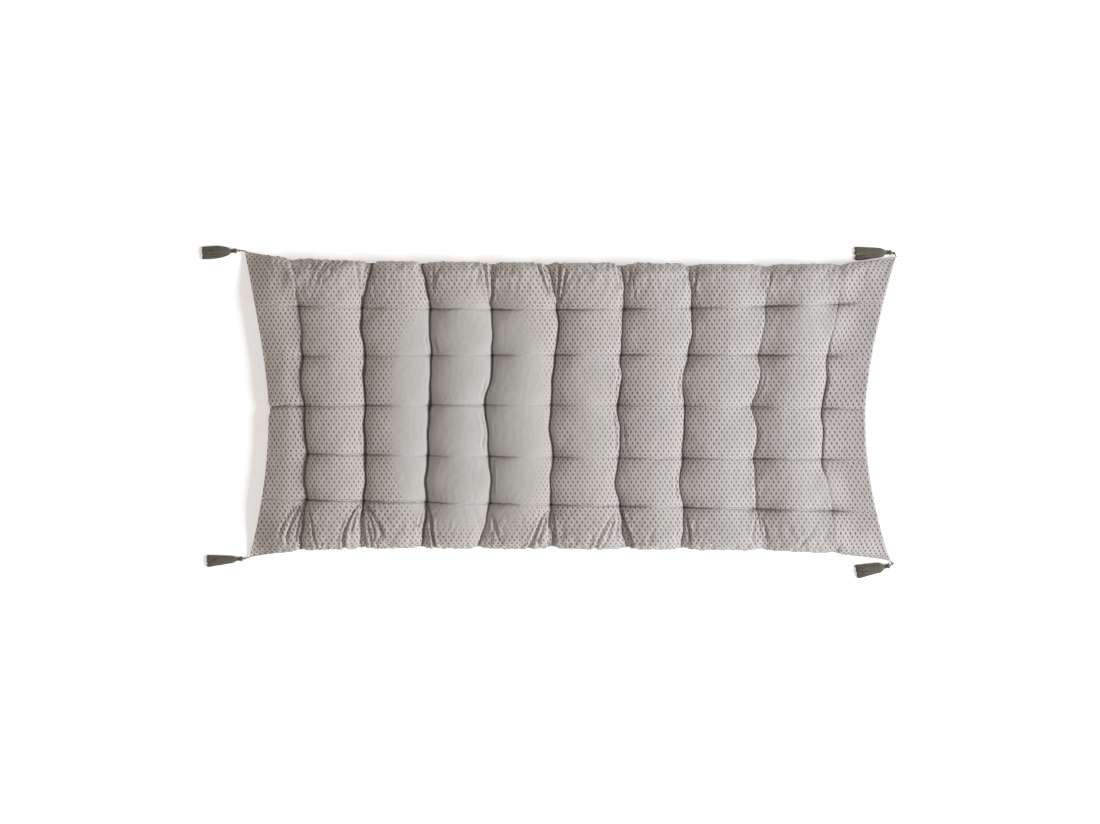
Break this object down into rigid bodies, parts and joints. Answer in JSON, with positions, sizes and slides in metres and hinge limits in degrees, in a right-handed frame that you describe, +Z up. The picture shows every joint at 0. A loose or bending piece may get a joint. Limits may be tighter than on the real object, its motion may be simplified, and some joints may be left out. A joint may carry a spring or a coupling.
{
  "type": "floor mattress",
  "caption": "Filled cotton floor mattress with sewn tufts, drawn-in seams and a yarn tassel at each corner; it lies flat on the floor to sit or lie on.",
  "frame": {"origin": "on the floor under the middle of the object's footprint", "axes": "+Z up from the floor the mattress lies on, +X along its length towards the end whose tassels fold back along the sides, +Y across it"},
  "size_m": [1.2871, 0.6176, 0.0596],
  "materials": {
    "printed_cotton": "matt woven cotton in light warm grey, printed with small dark grey dots",
    "tassel_yarn": "matt dark olive grey cotton yarn",
    "wrap_thread": "matt dark olive grey thread wound in a tight band",
    "cord_cotton": "matt dark olive grey twisted cotton cord"
  },
  "bodies": {
    "root": {"mattress": "printed_cotton", "tassel_left_far": "tassel_yarn", "tassel_left_near": "tassel_yarn", "tassel_right_far": "tassel_yarn", "tassel_right_near": "tassel_yarn", "wrap_left_far": "wrap_thread", "wrap_left_near": "wrap_thread", "wrap_right_far": "wrap_thread", "wrap_right_near": "wrap_thread", "cord_left_far": "cord_cotton", "cord_left_near": "cord_cotton", "cord_right_far": "cord_cotton", "cord_right_near": "cord_cotton"}
  },
  "joints": []
}
